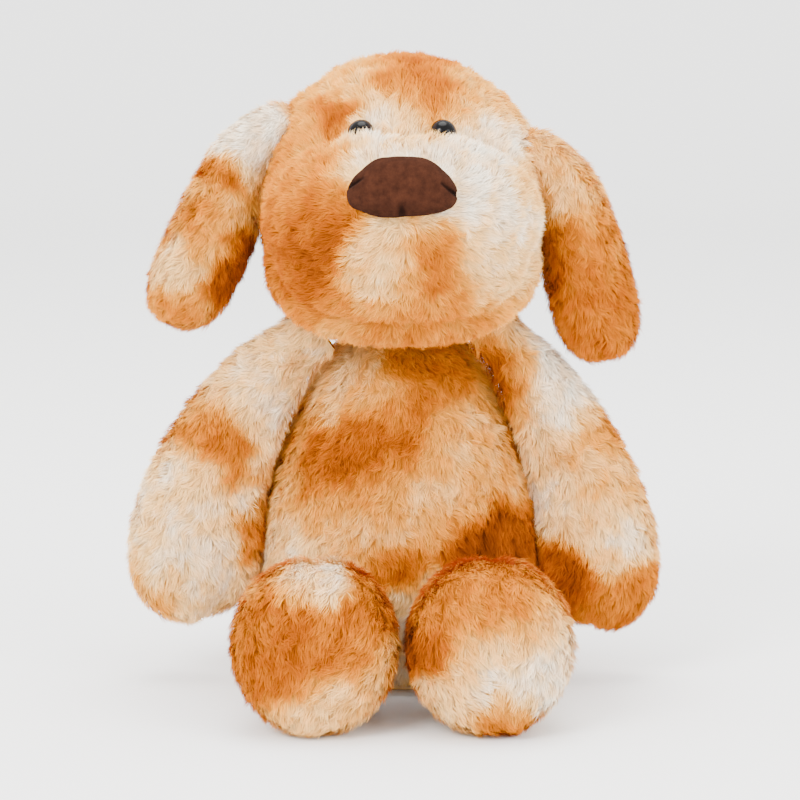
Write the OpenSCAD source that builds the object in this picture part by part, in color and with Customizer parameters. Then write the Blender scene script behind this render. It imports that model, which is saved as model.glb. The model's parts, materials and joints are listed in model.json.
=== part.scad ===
// Plush dog, sitting, made the way a soft toy is cut and sewn: fur fabric panels
// closed over fibre stuffing, a padded suede nose and two safety eyes.
// Frame: +Z up, the dog looks along -Y, the floor is Z = 0.

/* [Whole toy] */
// Thickness of the fur fabric with its pressed-down pile
fabric = 3; // [2:0.5:4]
// Room left between a cover and the stuffing under it
fill_gap = 1.2; // [1:0.1:1.6]

/* [Torso] */
// Height of the torso from the seat to the neck
torso_h = 169; // [160:1:180]
// Width of the belly at its widest
torso_w = 134; // [125:1:136]
// Depth of the belly from front to back
torso_d = 115; // [100:1:120]
// Thickness of the flat seat panel
seat_t = 3; // [2:0.5:4]

/* [Head] */
// Height of the head's centre above the seat
head_z = 230; // [228:1:240]
// Width of the skull
skull_w = 137; // [124:1:140]
// Depth of the skull
skull_d = 116; // [105:1:125]
// Height of the skull
skull_h = 132; // [120:1:140]
// Width of the muzzle
muzzle_w = 128; // [112:1:132]
// How far the muzzle reaches in front of the head's centre
muzzle_reach = 75; // [65:1:82]
// Height of the muzzle
muzzle_h = 82; // [75:1:90]

/* [Face] */
// Width of the nose pad
nose_w = 47; // [40:1:54]
// Height of the nose pad
nose_h = 26; // [20:1:30]
// Thickness of the nose pad
nose_d = 15; // [12:1:18]
// Diameter of an eye
eye_d = 12; // [10:0.5:13]
// Distance between the eyes' centres
eye_gap = 38; // [34:1:44]

/* [Ears] */
// Length of an ear
ear_len = 114; // [100:1:120]
// Width of an ear at its widest
ear_w = 50; // [44:1:54]
// Thickness of an ear at its thickest
ear_t = 33; // [24:1:34]

/* [Arms] */
// Length of an arm
arm_len = 151; // [140:1:156]
// Width of a paw
paw_w = 55; // [48:1:57]
// Depth of a paw from front to back
paw_d = 42; // [36:1:46]

/* [Legs] */
// Length of a leg from the hip to the sole
leg_len = 92; // [84:1:96]
// Width of a foot
foot_w = 74; // [66:1:75]
// Height of a foot
foot_h = 81; // [72:1:82]

/* [Tail] */
// Length of the tail
tail_len = 46; // [38:1:54]
// Thickness of the tail
tail_t = 19; // [14:1:22]

/* [Hidden] */
NODES = concat(
    ["belly_panel", "back_panel_left", "back_panel_right", "seat_panel", "torso_stuffing", "neck_seam",
     "head_gusset", "head_side_left", "head_side_right", "muzzle_panel", "chin_panel", "head_stuffing",
     "nose_cover", "nose_padding", "tail_left", "tail_right", "tail_stuffing"],
    [for (side = ["left", "right"])
        for (piece = ["eye", "eye_washer", "ear_outer", "ear_inner", "ear_filling", "shoulder_seam",
                      "arm_outer", "arm_inner", "arm_stuffing", "leg_outer", "leg_inner", "sole_panel",
                      "leg_stuffing"])
            str(piece, "_", side)]);
node = "all";

// The toy is laid out round the middle of its seat, and this moves the middle of its
// whole outline, arms, feet and tail, onto the origin.
to_origin = [3.9, 21.2, 0];

// Room between pieces that move or are stacked on each other
clearance = 0.4;

// Columns round a limb, rows along it, and the share of a degree left open at a seam
around = 18;
along = 12;
seam = 0.35;

cream = "#f0e4dc";
beige = "#e6c49a";
orange = "#d9903f";
rust = "#b8651a";
fibre = "#f7f5f0";

// ---- Curves ----

// Smooth value through equally spaced entries of a list, at t from 0 to 1
function through(list, t) =
    let (last = len(list) - 1, u = min(max(t, 0), 1) * last, k = min(floor(u), last - 1), f = u - k,
         a = list[max(k - 1, 0)], b = list[k], c = list[k + 1], d = list[min(k + 2, last)])
    b + f * (c - a) / 2 + f * f * (a - 2.5 * b + 2 * c - d / 2) + f * f * f * (1.5 * (b - c) + (d - a) / 2);

// Share of the full section near a rounded end: s is the way from the end, c where the rounding
// stops, p 2 for a ball and more for a blunter end
function rounded(s, c, p) = s >= c ? 1 : pow(max(0, 1 - pow(1 - s / c, p)), 1 / p);

// Rows are closer together towards the two ends
function eased(w) = (1 - cos(180 * w)) / 2;

// ---- Limbs: each runs along an arc and has an oval section ----
// [start, outward, forward, first slope, last slope, length, half across, half deep, ends, twist]
// Slopes are degrees from forward towards outward. The half sizes are lists along the length.

function slope(limb, s) = limb[3] + (limb[4] - limb[3]) * s;
function ahead(limb, s) = sin(slope(limb, s)) * limb[1] + cos(slope(limb, s)) * limb[2];
function outwards(limb, s) = cos(slope(limb, s)) * limb[1] - sin(slope(limb, s)) * limb[2];
function spine(limb, s) =
    let (turn = (limb[4] - limb[3]) * PI / 180, a = slope(limb, s))
    limb[0] + limb[5] / turn * ((cos(limb[3]) - cos(a)) * limb[1] + (sin(a) - sin(limb[3])) * limb[2]);

function limb_point(limb, s, angle, inset) =
    let (ends = limb[8], tuck = inset / limb[5], p = tuck + (1 - 2 * tuck) * s,
         full = rounded(s, ends[0], ends[1]) * rounded(1 - s, ends[2], ends[3]),
         out = outwards(limb, p), side = cross(ahead(limb, p), out), twist = limb[9] * p,
         n = cos(twist) * out + sin(twist) * side, b = cos(twist) * side - sin(twist) * out)
    spine(limb, p) + full * ((through(limb[6], p) - inset) * cos(angle) * n
                             + (through(limb[7], p) - inset) * sin(angle) * b);

function limb_grid(limb, s_from, s_to, a_from, a_to, rows, cols, inset) =
    [for (i = [0:rows]) let (w = eased(i / rows), s = s_from + (s_to - s_from) * w)
        [for (j = [0:cols]) limb_point(limb, s, a_from + (a_to - a_from) * j / cols, inset)]];

up = [0, 0, 1];

function share(list, full) = [for (v = list) v * full / 2];

shoulder_z = torso_h - 6;
function arm(side) = [
    [50 * side, -8, shoulder_z + 1], [side, 0, 0], -up, side < 0 ? 50 : 42, side < 0 ? -9 : -5, arm_len,
    share([0.43, 0.58, 0.70, 0.82, 0.93, 1, 0.98, 0.90], paw_w * (side < 0 ? 1.09 : 1)),
    share([0.55, 0.70, 0.81, 0.88, 0.95, 1, 0.96, 0.86], paw_d), [0.10, 2, 0.20, 2.2], 0];

function ear(side) = [
    [(side < 0 ? 69 : 73) * side, -5, head_z + (side < 0 ? 49 : 37)], [side, 0, 0], -up,
    side < 0 ? 18 : 16, side < 0 ? 28 : 12, ear_len,
    share([0.60, 0.74, 0.88, 1, 1, 0.94], ear_t),
    share([0.56, 0.74, 0.88, 1, 0.97, 0.86], ear_w), [0.10, 2, 0.22, 2.5], (side < 0 ? 12 : 18) * side];

function leg(side) = [
    [36 * side, -49, 34.5], up, [0.05 * side, -1, 0] / norm([0.05, 1]), 6, 3, leg_len,
    share([0.52, 0.72, 0.84, 0.92, 0.99, 1], foot_h),
    share([0.58, 0.76, 0.87, 0.94, 1, 1], foot_w), [0.24, 2, 0.16, 3], 0];

tail = [
    [0, 62.5, 26], up, [0, 1, 0], 8, 80, tail_len,
    share([0.8, 1, 1, 0.9], tail_t), share([0.8, 1, 1, 0.9], tail_t), [0.25, 2, 0.3, 2], 0];

nose = [
    [-nose_w / 2, -86, head_z + 15], [0, -1, 0], [1, 0, 0], 26, -26, nose_w * 1.035,
    share([0.80, 0.95, 1, 0.95, 0.80], nose_d),
    share([0.80, 0.98, 1, 0.98, 0.80], nose_h), [0.3, 2.3, 0.3, 2.3], 0];

// ---- Torso: a pear of oval sections ----
// Shares of the full height, width and depth at each level from the seat to the neck

torso_levels = [
    [0, 0.72, 0.74], [0.06, 0.86, 0.89], [0.16, 0.97, 0.98], [0.32, 1, 1], [0.48, 0.965, 0.955],
    [0.64, 0.85, 0.83], [0.78, 0.70, 0.69], [0.89, 0.56, 0.54], [0.96, 0.43, 0.42], [1, 0.32, 0.32]];
torso_y = 4;
torso_lean = 8;

function torso_point(t, angle, inset) =
    let (level = through(torso_levels, t), low = seat_t + clearance + inset, high = torso_h - inset)
    [(level[1] * torso_w / 2 - inset) * cos(angle),
     torso_y + torso_lean * level[0] * level[0] + (level[2] * torso_d / 2 - inset) * sin(angle),
     low + level[0] * (high - low)];

function torso_grid(a_from, a_to, rows, cols, inset) =
    [for (i = [0:rows]) [for (j = [0:cols]) torso_point(i / rows, a_from + (a_to - a_from) * j / cols, inset)]];

// ---- Head: skull, muzzle and chin run together, seen from one point inside ----
// A direction is given by its angle from straight ahead and the angle round from the top.

head_o = [0, -12, head_z];
lobes = [
    [[0, 6, head_z + 5], [skull_w, skull_d, skull_h] / 2],
    [[0, 22 - muzzle_reach + 19, head_z - 2], [muzzle_w / 2, muzzle_reach - 22, muzzle_h / 2]],
    [[0, -22, head_z - 30], [63, 46, 40]]];
blend = 14;

// Room between the head and the torso: a level floor over the neck that drops away outside it
// and rises again over the shoulders. An inset surface drops further out, so that a panel keeps
// its thickness there.
neck_pivot = [0, torso_y + torso_lean, torso_h + 3];
neck_room = 9;
function smooth(x) = let (f = min(max(x, 0), 1)) f * f * (3 - 2 * f);
function head_floor(x, y, inset) =
    let (r = norm([x, y - neck_pivot.y]) - 1.3 * inset)
    neck_pivot.z + neck_room - 12 * smooth((r - 24) / 16) + 9 * smooth((abs(x) - 27) / 14) * smooth((y + 42) / 16);

function over(v, s) = [v.x / s.x, v.y / s.y, v.z / s.z];
function reach(d, lobe) =
    let (u = over(d, lobe[1]), v = over(head_o - lobe[0], lobe[1]), a = u * u, b = u * v, c = v * v - 1)
    (sqrt(b * b - a * c) - b) / a;

function head_ray(off, round) = [sin(off) * sin(round), -cos(off), sin(off) * cos(round)];
function head_point(off, round, inset) =
    let (d = head_ray(off, round),
         r = pow(pow(reach(d, lobes[0]), blend) + pow(reach(d, lobes[1]), blend)
                 + pow(reach(d, lobes[2]), blend), 1 / blend),
         p = head_o + (r - inset) * d)
    // A soft larger of the two heights, so that the jaw rounds into the floor
    let (low = head_floor(p.x, p.y, inset) + inset)
    [p.x, p.y, (p.z + low + sqrt((p.z - low) * (p.z - low) + 16)) / 2];

// The muzzle's sewn edge, and the chin's, as angles from straight ahead
chin_half = 62;
function muzzle_edge(round) = 42.1 - 2.9 * cos(round) + 27 * pow(sin(round), 2);
function chin_edge(round) =
    muzzle_edge(round) + 43 * pow(max(0, cos(90 * min(abs(round - 180) / chin_half, 1))), 0.8);

function head_grid(r_from, r_to, near, far, rows, cols, inset) =
    [for (i = [0:rows])
        [for (j = [0:cols]) let (round = r_from + (r_to - r_from) * j / cols,
                                 a = near(round), b = far(round))
            head_point(a + (b - a) * i / rows, round, inset)]];

// ---- Solids from grids of points ----

function flat(grid) = [for (row = grid) for (p = row) p];
// Number of a grid point in the flat list; a pole's whole row is one point, and a closed grid's
// last column is its first
function at(i, j, rows, cols, closed, poles) =
    (poles[0] && i == 0) ? 0 : (poles[1] && i == rows) ? rows * (cols + 1)
    : i * (cols + 1) + (closed && j == cols ? 0 : j);
function distinct(f) = f[0] != f[1] && f[1] != f[2] && f[0] != f[2];
function quad(a, b, c, d) = [for (f = [[a, c, b], [a, d, c]]) if (distinct(f)) f];
function skin(rows, cols, closed, poles, add, inside) =
    [for (i = [0:rows - 1]) for (j = [0:cols - 1])
        let (a = add + at(i, j, rows, cols, closed, poles), b = add + at(i, j + 1, rows, cols, closed, poles),
             c = add + at(i + 1, j + 1, rows, cols, closed, poles), d = add + at(i + 1, j, rows, cols, closed, poles))
            for (f = inside ? quad(a, d, c, b) : quad(a, b, c, d)) f];

// A fabric panel: the sheet between an outer and an inner grid
module panel(outer, inner, closed = false, poles = [false, false]) {
    rows = len(outer) - 1;
    cols = len(outer[0]) - 1;
    n = (rows + 1) * (cols + 1);
    function o(i, j) = at(i, j, rows, cols, closed, poles);
    ends = [for (j = [0:cols - 1])
        for (f = concat(poles[0] ? [] : quad(o(0, j), n + o(0, j), n + o(0, j + 1), o(0, j + 1)),
                        poles[1] ? [] : quad(o(rows, j), o(rows, j + 1), n + o(rows, j + 1), n + o(rows, j)))) f];
    sides = closed ? [] : [for (i = [0:rows - 1])
        for (f = concat(quad(o(i, 0), o(i + 1, 0), n + o(i + 1, 0), n + o(i, 0)),
                        quad(o(i, cols), n + o(i, cols), n + o(i + 1, cols), o(i + 1, cols)))) f];
    polyhedron(concat(flat(outer), flat(inner)),
               concat(skin(rows, cols, closed, poles, 0, false), skin(rows, cols, closed, poles, n, true), ends, sides));
}

// Stuffing: the whole inside of a closed grid, with a flat end wherever it has no pole
module filling(grid, poles = [true, true]) {
    rows = len(grid) - 1;
    cols = len(grid[0]) - 1;
    low = poles[0] ? [] : [[for (j = [0:cols - 1]) j]];
    high = poles[1] ? [] : [[for (j = [cols - 1:-1:0]) rows * (cols + 1) + j]];
    polyhedron(flat(grid), concat(skin(rows, cols, true, poles, 0, false), low, high));
}

stuffing_inset = fabric + fill_gap;

module limb_panel(limb, a_from, a_to, s_to = 1, cols = 9) {
    poles = [true, s_to == 1];
    panel(limb_grid(limb, 0, s_to, a_from + seam, a_to - seam, along, cols, 0),
          limb_grid(limb, 0, s_to, a_from + seam, a_to - seam, along, cols, fabric), false, poles);
}

module limb_filling(limb) {
    filling(limb_grid(limb, 0, 1, 0, 360, along, around, stuffing_inset));
}

// ---- Torso ----

module torso_panel(a_from, a_to, cols) {
    panel(torso_grid(a_from + seam, a_to - seam, 16, cols, 0),
          torso_grid(a_from + seam, a_to - seam, 16, cols, fabric));
}

module belly_panel() { color(orange) torso_panel(195, 345, 11); }
module back_panel(side) { color(beige) torso_panel(side < 0 ? 90 : -15, side < 0 ? 195 : 90, 8); }
module torso_stuffing() { color(fibre) filling(torso_grid(0, 360, 16, 24, stuffing_inset), [false, false]); }

module seat_panel() {
    first = torso_levels[0];
    color(beige) linear_extrude(seat_t)
        polygon([for (a = [0:7.5:352.5])
            [first[1] * torso_w / 2 * cos(a), torso_y + first[2] * torso_d / 2 * sin(a)]]);
}

// The gathered neck seam: a ring of sewn fabric with the stuffed core that the head rocks on
module neck_seam() {
    core = neck_room - clearance;
    color(beige) translate([0, neck_pivot.y, 0]) union() {
        translate([0, 0, torso_h + clearance]) cylinder(r = 16, h = 2.2);
        intersection() {
            translate([0, 0, neck_pivot.z]) sphere(r = core, $fn = 48);
            translate([0, 0, torso_h + clearance]) cylinder(r = core + 1, h = 2 * core);
        }
    }
}

// ---- Head ----

module head_panel(r_from, r_to, near, far, rows, cols, to_back = false) {
    panel(head_grid(r_from + seam, r_to - seam, near, far, rows, cols, 0),
          head_grid(r_from + seam, r_to - seam, near, far, rows, cols, fabric), false, [false, to_back]);
}

gusset_half = 34;
back_pole = function(round) 180;

// Holes for the two eyes' posts
post_r = 2;
module eye_posts(r, from, to) {
    for (side = [-1, 1]) eye_frame(side) translate([0, 0, from]) cylinder(r = r, h = to - from, $fn = 24);
}

module head_gusset() {
    color(orange) difference() {
        head_panel(-gusset_half, gusset_half, function(round) muzzle_edge(round) + seam, back_pole, 13, 8, true);
        eye_posts(post_r + 0.2, -9, 4);
    }
}

module head_side(side) {
    color(beige) head_panel(side < 0 ? 180 : gusset_half, side < 0 ? 360 - gusset_half : 180,
                            function(round) chin_edge(round) + seam, back_pole, 11, 12, true);
}

module muzzle_panel() {
    start = function(round) 0;
    edge = function(round) muzzle_edge(round) - seam;
    color(cream) difference() {
        panel(head_grid(0, 360, start, edge, 8, 26, 0), head_grid(0, 360, start, edge, 8, 26, fabric),
              true, [true, false]);
        // The eyes press into the muzzle's sewn edge
        eye_posts(eye_d / 2 + 0.3, -3, 9);
    }
}

module chin_panel() {
    color(orange) head_panel(180 - chin_half + 6, 180 + chin_half - 6, function(round) muzzle_edge(round) + seam,
                             function(round) chin_edge(round) - seam, 5, 10);
}

module head_stuffing() {
    start = function(round) 0;
    color(fibre) difference() {
        filling(head_grid(0, 360, start, back_pole, 16, 24, stuffing_inset + 1.6));
        eye_posts(eye_d * 0.62 + 0.8, -16, 4);
    }
}

// ---- Face ----

// An eye sits on the forehead just above the muzzle's seam, facing along the surface's own normal
eye_off = 49;
eye_round = 24.5;
eye_place = head_point(eye_off, eye_round, 0);
eye_fwd = [0.22, -0.78, 0.58];
module eye_frame(side) {
    n = eye_fwd / norm(eye_fwd);
    translate([side * eye_gap / 2, eye_place.y, eye_place.z])
        rotate([0, acos(n.z), atan2(n.y, side * n.x)]) translate([0, 0, 1.9]) children();
}

module eye(side) {
    ball = eye_d * 0.55;
    color("#1d1512") eye_frame(side) union() {
        intersection() {
            translate([0, 0, -ball * 0.42]) sphere(r = ball, $fn = 48);
            cylinder(r = eye_d / 2, h = eye_d, $fn = 48);
        }
        translate([0, 0, -13]) cylinder(r = post_r, h = 13.1, $fn = 24);
    }
}

module eye_washer(side) {
    color("#e9e9e6") eye_frame(side) translate([0, 0, -11]) difference() {
        cylinder(r = eye_d * 0.62, h = 1.6, $fn = 48);
        translate([0, 0, -1]) cylinder(r = post_r + 0.05, h = 4, $fn = 24);
    }
}

// The suede cover wraps the front of the pad and is sewn down all round, open behind
nose_skin = 1.2;
nose_wrap = 132;
module nose_cover() {
    color("#5e3a2a") panel(limb_grid(nose, 0, 1, -nose_wrap, nose_wrap, along, 14, 0),
                           limb_grid(nose, 0, 1, -nose_wrap, nose_wrap, along, 14, nose_skin), false, [true, true]);
}
module nose_padding() { color(fibre) filling(limb_grid(nose, 0, 1, 0, 360, along, around, nose_skin + 0.3)); }

// ---- Ears, arms, legs and tail ----

module ear_outer(side) { color(cream) limb_panel(ear(side), -90, 90); }
module ear_inner(side) { color(orange) limb_panel(ear(side), 90, 270); }
module ear_filling(side) { color(fibre) limb_filling(ear(side)); }

// The inner panel of an arm is the strip that faces the body
inner_strip = 48;
module arm_outer(side) { color(cream) limb_panel(arm(side), inner_strip - 180, 180 - inner_strip, cols = 12); }
module arm_inner(side) { color(rust) limb_panel(arm(side), 180 - inner_strip, 180 + inner_strip, cols = 7); }
module arm_stuffing(side) { color(fibre) limb_filling(arm(side)); }
module shoulder_seam(side) {
    color(beige) translate([side * 35.6, -8, shoulder_z - 2]) rotate([0, 90 * side, 0]) cylinder(r = 4.5, h = 2, $fn = 32);
}

// A leg's two panels end at the ring seam where the round sole is set in
sole_at = 0.9;
module leg_half(side, a_from) {
    limb_panel(leg(side), a_from, a_from + 180, sole_at - 0.004, cols = 10);
}
module leg_outer(side) { color(orange) leg_half(side, side < 0 ? 0 : 180); }
module leg_inner(side) { color(beige) leg_half(side, side < 0 ? 180 : 0); }
module sole_panel(side) {
    color(cream) panel(limb_grid(leg(side), 1, sole_at, 360, 0, 6, 24, 0),
                       limb_grid(leg(side), 1, sole_at, 360, 0, 6, 24, fabric), true, [true, false]);
}
module leg_stuffing(side) { color(fibre) limb_filling(leg(side)); }

module tail_half(side) { color(orange) limb_panel(tail, side < 0 ? 180 : 0, side < 0 ? 360 : 180, cols = 7); }
module tail_stuffing() { color(fibre) limb_filling(tail); }

function wanted(name) = node == "all" || node == name;

module placed() { translate(to_origin) children(); }

if (wanted("belly_panel")) placed() belly_panel();
if (wanted("back_panel_left")) placed() back_panel(-1);
if (wanted("back_panel_right")) placed() back_panel(1);
if (wanted("seat_panel")) placed() seat_panel();
if (wanted("torso_stuffing")) placed() torso_stuffing();
if (wanted("neck_seam")) placed() neck_seam();
if (wanted("head_gusset")) placed() head_gusset();
if (wanted("head_side_left")) placed() head_side(-1);
if (wanted("head_side_right")) placed() head_side(1);
if (wanted("muzzle_panel")) placed() muzzle_panel();
if (wanted("chin_panel")) placed() chin_panel();
if (wanted("head_stuffing")) placed() head_stuffing();
if (wanted("nose_cover")) placed() nose_cover();
if (wanted("nose_padding")) placed() nose_padding();
if (wanted("tail_left")) placed() tail_half(-1);
if (wanted("tail_right")) placed() tail_half(1);
if (wanted("tail_stuffing")) placed() tail_stuffing();
for (side = [-1, 1]) {
    hand = side < 0 ? "left" : "right";
    if (wanted(str("eye_", hand))) placed() eye(side);
    if (wanted(str("eye_washer_", hand))) placed() eye_washer(side);
    if (wanted(str("ear_outer_", hand))) placed() ear_outer(side);
    if (wanted(str("ear_inner_", hand))) placed() ear_inner(side);
    if (wanted(str("ear_filling_", hand))) placed() ear_filling(side);
    if (wanted(str("shoulder_seam_", hand))) placed() shoulder_seam(side);
    if (wanted(str("arm_outer_", hand))) placed() arm_outer(side);
    if (wanted(str("arm_inner_", hand))) placed() arm_inner(side);
    if (wanted(str("arm_stuffing_", hand))) placed() arm_stuffing(side);
    if (wanted(str("leg_outer_", hand))) placed() leg_outer(side);
    if (wanted(str("leg_inner_", hand))) placed() leg_inner(side);
    if (wanted(str("sole_panel_", hand))) placed() sole_panel(side);
    if (wanted(str("leg_stuffing_", hand))) placed() leg_stuffing(side);
}
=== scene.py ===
"""Looks of the sitting plush dog: every cover is a sewn skin puffed out between its seams and carries
a combed, clumped pile of separate strands; the face has a suede nose with darts and glossy safety eyes."""

import json
import math

import bpy
import numpy as np
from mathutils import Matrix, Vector


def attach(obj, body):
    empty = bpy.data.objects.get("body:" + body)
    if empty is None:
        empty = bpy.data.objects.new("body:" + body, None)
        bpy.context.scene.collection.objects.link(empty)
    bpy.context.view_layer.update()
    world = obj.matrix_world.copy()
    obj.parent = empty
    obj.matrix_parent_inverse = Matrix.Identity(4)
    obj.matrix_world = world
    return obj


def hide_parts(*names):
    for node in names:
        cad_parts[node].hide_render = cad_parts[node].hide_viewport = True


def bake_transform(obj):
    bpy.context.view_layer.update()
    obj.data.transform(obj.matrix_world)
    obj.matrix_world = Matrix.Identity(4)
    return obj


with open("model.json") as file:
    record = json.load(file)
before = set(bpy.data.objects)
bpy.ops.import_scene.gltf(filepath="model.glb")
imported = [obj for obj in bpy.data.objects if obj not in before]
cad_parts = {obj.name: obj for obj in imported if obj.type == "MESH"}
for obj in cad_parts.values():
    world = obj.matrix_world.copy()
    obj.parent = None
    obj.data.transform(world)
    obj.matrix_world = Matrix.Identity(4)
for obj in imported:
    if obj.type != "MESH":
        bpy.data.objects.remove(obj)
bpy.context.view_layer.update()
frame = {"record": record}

bl_info = {
    "name": "Plush Dog",
    "version": (1, 0, 0),
    "blender": (4, 5, 0),
    "location": "View3D > Sidebar > Plush Dog",
    "description": "Builds the pile, the stuffing, the face and the studio of a sitting plush dog",
    "category": "Object",
}

MM = 0.001
UP = np.array([0.0, 0.0, 1.0])
OUT_X = np.array([1.0, 0.0, 0.0])

# The toy's own origin in the shared frame, in millimetres: the middle of its seat lies 4 mm behind it
SEAT = next(m for m in frame["record"]["mounts"] if m["name"] == "seat")
ORIGIN = np.array(SEAT["pos_m"]) / MM - [0.0, 4.0, 0.0]

# The front view that the dye patches are placed in: its middle and distance in millimetres, and how far it
# looks down in degrees
VIEW_AIM = np.array([-0.96, -14.4, 137.4])
VIEW_DISTANCE = 1500.0
VIEW_TILT = 8.0


# ---- Sizes and colours ----


def linear(colour):
    """A hex sRGB colour as linear red, green, blue and alpha."""
    parts = [int(colour[i : i + 2], 16) / 255 for i in (1, 3, 5)]
    return tuple(c / 12.92 if c <= 0.04045 else ((c + 0.055) / 1.055) ** 2.4 for c in parts) + (1.0,)


def length_setting(name, description, default_mm):
    return bpy.props.FloatProperty(name=name, description=description, default=default_mm * MM, unit="LENGTH")


def angle_setting(name, description, default_degrees):
    return bpy.props.FloatProperty(
        name=name, description=description, default=math.radians(default_degrees), subtype="ANGLE"
    )


def colour_setting(name, description, default_hex):
    return bpy.props.FloatVectorProperty(
        name=name, description=description, default=linear(default_hex), size=4, min=0, max=1, subtype="COLOR"
    )


class PlushPileSettings(bpy.types.PropertyGroup):
    """The pile on the covers."""

    length: length_setting("Pile length", "Length of a strand", 5.8)
    width: length_setting("Strand width", "Width of a strand at its root", 0.36)
    clump: length_setting("Clump size", "Distance between neighbouring clumps", 3.8)
    lean: angle_setting("Lean", "Angle from upright at the root", 42.0)
    droop: angle_setting("Droop", "Angle from upright at the tip", 76.0)
    density: bpy.props.FloatProperty(
        name="Density", description="Strands on a square millimetre of skin", default=2.5
    )
    gather: bpy.props.FloatProperty(
        name="Gather",
        description="Share of the way that tips move to the middle of their clump",
        default=0.28,
        subtype="FACTOR",
    )


class PlushCoverSettings(bpy.types.PropertyGroup):
    """The sewn skin under the pile."""

    depth: length_setting("Skin depth", "Depth of the skin under the CAD surface", 1.0)
    cell: length_setting("Cell", "Distance between the skin's points", 4.0)
    pull: length_setting("Seam pull", "How deep a seam is drawn in", 3.2)
    cap: length_setting("Most puff", "Furthest that the cloth may move", 2.0)
    stuffing: length_setting("Stuffing depth", "Depth of the stuffing under the CAD surface", 8.0)
    pressure: bpy.props.FloatProperty(
        name="Pressure", description="Pressure of the stuffing on the cloth", default=4.0
    )


class PlushColourSettings(bpy.types.PropertyGroup):
    """The colours of the dyed fur, the face, the stuffing and the studio."""

    undyed: colour_setting("Undyed", "Fur that the dye didn't reach", "#fdf0da")
    beige: colour_setting("Beige", "The lightest dye", "#fccb81")
    amber: colour_setting("Amber", "Light dye", "#e99c34")
    orange: colour_setting("Orange", "Middle dye", "#d17607")
    russet: colour_setting("Russet", "Strong dye", "#aa5200")
    rust: colour_setting("Rust", "Very strong dye", "#893f0a")
    deepest: colour_setting("Deepest", "The deepest dye", "#6b3009")
    suede_dark: colour_setting("Dark suede", "The darker mottles of the nose", "#27130b")
    suede_light: colour_setting("Light suede", "The lighter mottles of the nose", "#3c2014")
    pupil: colour_setting("Pupil", "Middle of the eyes", "#020101")
    iris: colour_setting("Iris", "Ring round the pupil", "#1a0b05")
    washer: colour_setting("Washer", "Washers behind the eyes", "#e6e6e2")
    fibre_in_shade: colour_setting("Fibre in shade", "Hollows of the stuffing", "#dedad2")
    fibre_light: colour_setting("Fibre", "Stuffing", "#fbfaf7")
    paper: colour_setting("Paper", "The studio's floor and background", "#f6f6f5")


class PlushStudioSettings(bpy.types.PropertyGroup):
    """The floor, the lights and the camera."""

    distance: length_setting("Camera distance", "From the camera to the middle of the toy", VIEW_DISTANCE)
    elevation: angle_setting("Camera elevation", "Height of the camera above the horizon", VIEW_TILT)
    key: bpy.props.FloatProperty(
        name="Key light", description="Power of the large soft light", default=75.0, unit="POWER"
    )


# ---- Small helpers ----


def in_mm(length):
    """A length setting in millimetres, in the single precision that settings are kept in."""
    return float(np.float32(round(length / MM, 4)))


def in_degrees(angle):
    """An angle setting in degrees."""
    return float(np.float32(round(math.degrees(angle), 3)))


def cover_mm(name):
    """One of the cover's lengths, in millimetres."""
    return in_mm(getattr(bpy.context.scene.plush_cover, name))


def unit(v):
    return v / np.maximum(np.linalg.norm(v, axis=-1, keepdims=True), 1e-9)


def smooth(x):
    x = np.clip(x, 0, 1)
    return x * x * (3 - 2 * x)


def through(values, t):
    """Smooth value through equally spaced entries of a list, at t from 0 to 1."""
    values = np.asarray(values, float)
    last = len(values) - 1
    u = np.clip(t, 0, 1) * last
    k = np.minimum(np.floor(u).astype(int), last - 1)
    f = u - k
    a, b, c, d = (values[np.clip(k + i, 0, last)] for i in (-1, 0, 1, 2))
    return b + f * (c - a) / 2 + f * f * (a - 2.5 * b + 2 * c - d / 2) + f**3 * (1.5 * (b - c) + (d - a) / 2)


def rounded(s, c, p):
    """Share of the full section near a rounded end."""
    return np.where(s >= c, 1.0, np.maximum(0, 1 - np.maximum(0, 1 - s / c) ** p) ** (1 / p))


def waves(p, scale, seed):
    """Smooth noise from -1 to 1 at points p, in features about scale millimetres across."""
    rng = np.random.default_rng(seed)
    total = 0
    for octave, weight in ((1.0, 0.6), (1.9, 0.4)):
        turns = unit(rng.normal(size=(5, 3))) * octave * 2 * math.pi / (scale * 2.2)
        shift = rng.uniform(0, 2 * math.pi, 5)
        total = total + weight * np.sin(p @ turns.T + shift).sum(-1) / 2.2
    return np.clip(total, -1, 1)


# ---- The CAD surfaces, as points for a place along (u, 0 to 1) and an angle round (v, degrees) ----


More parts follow.
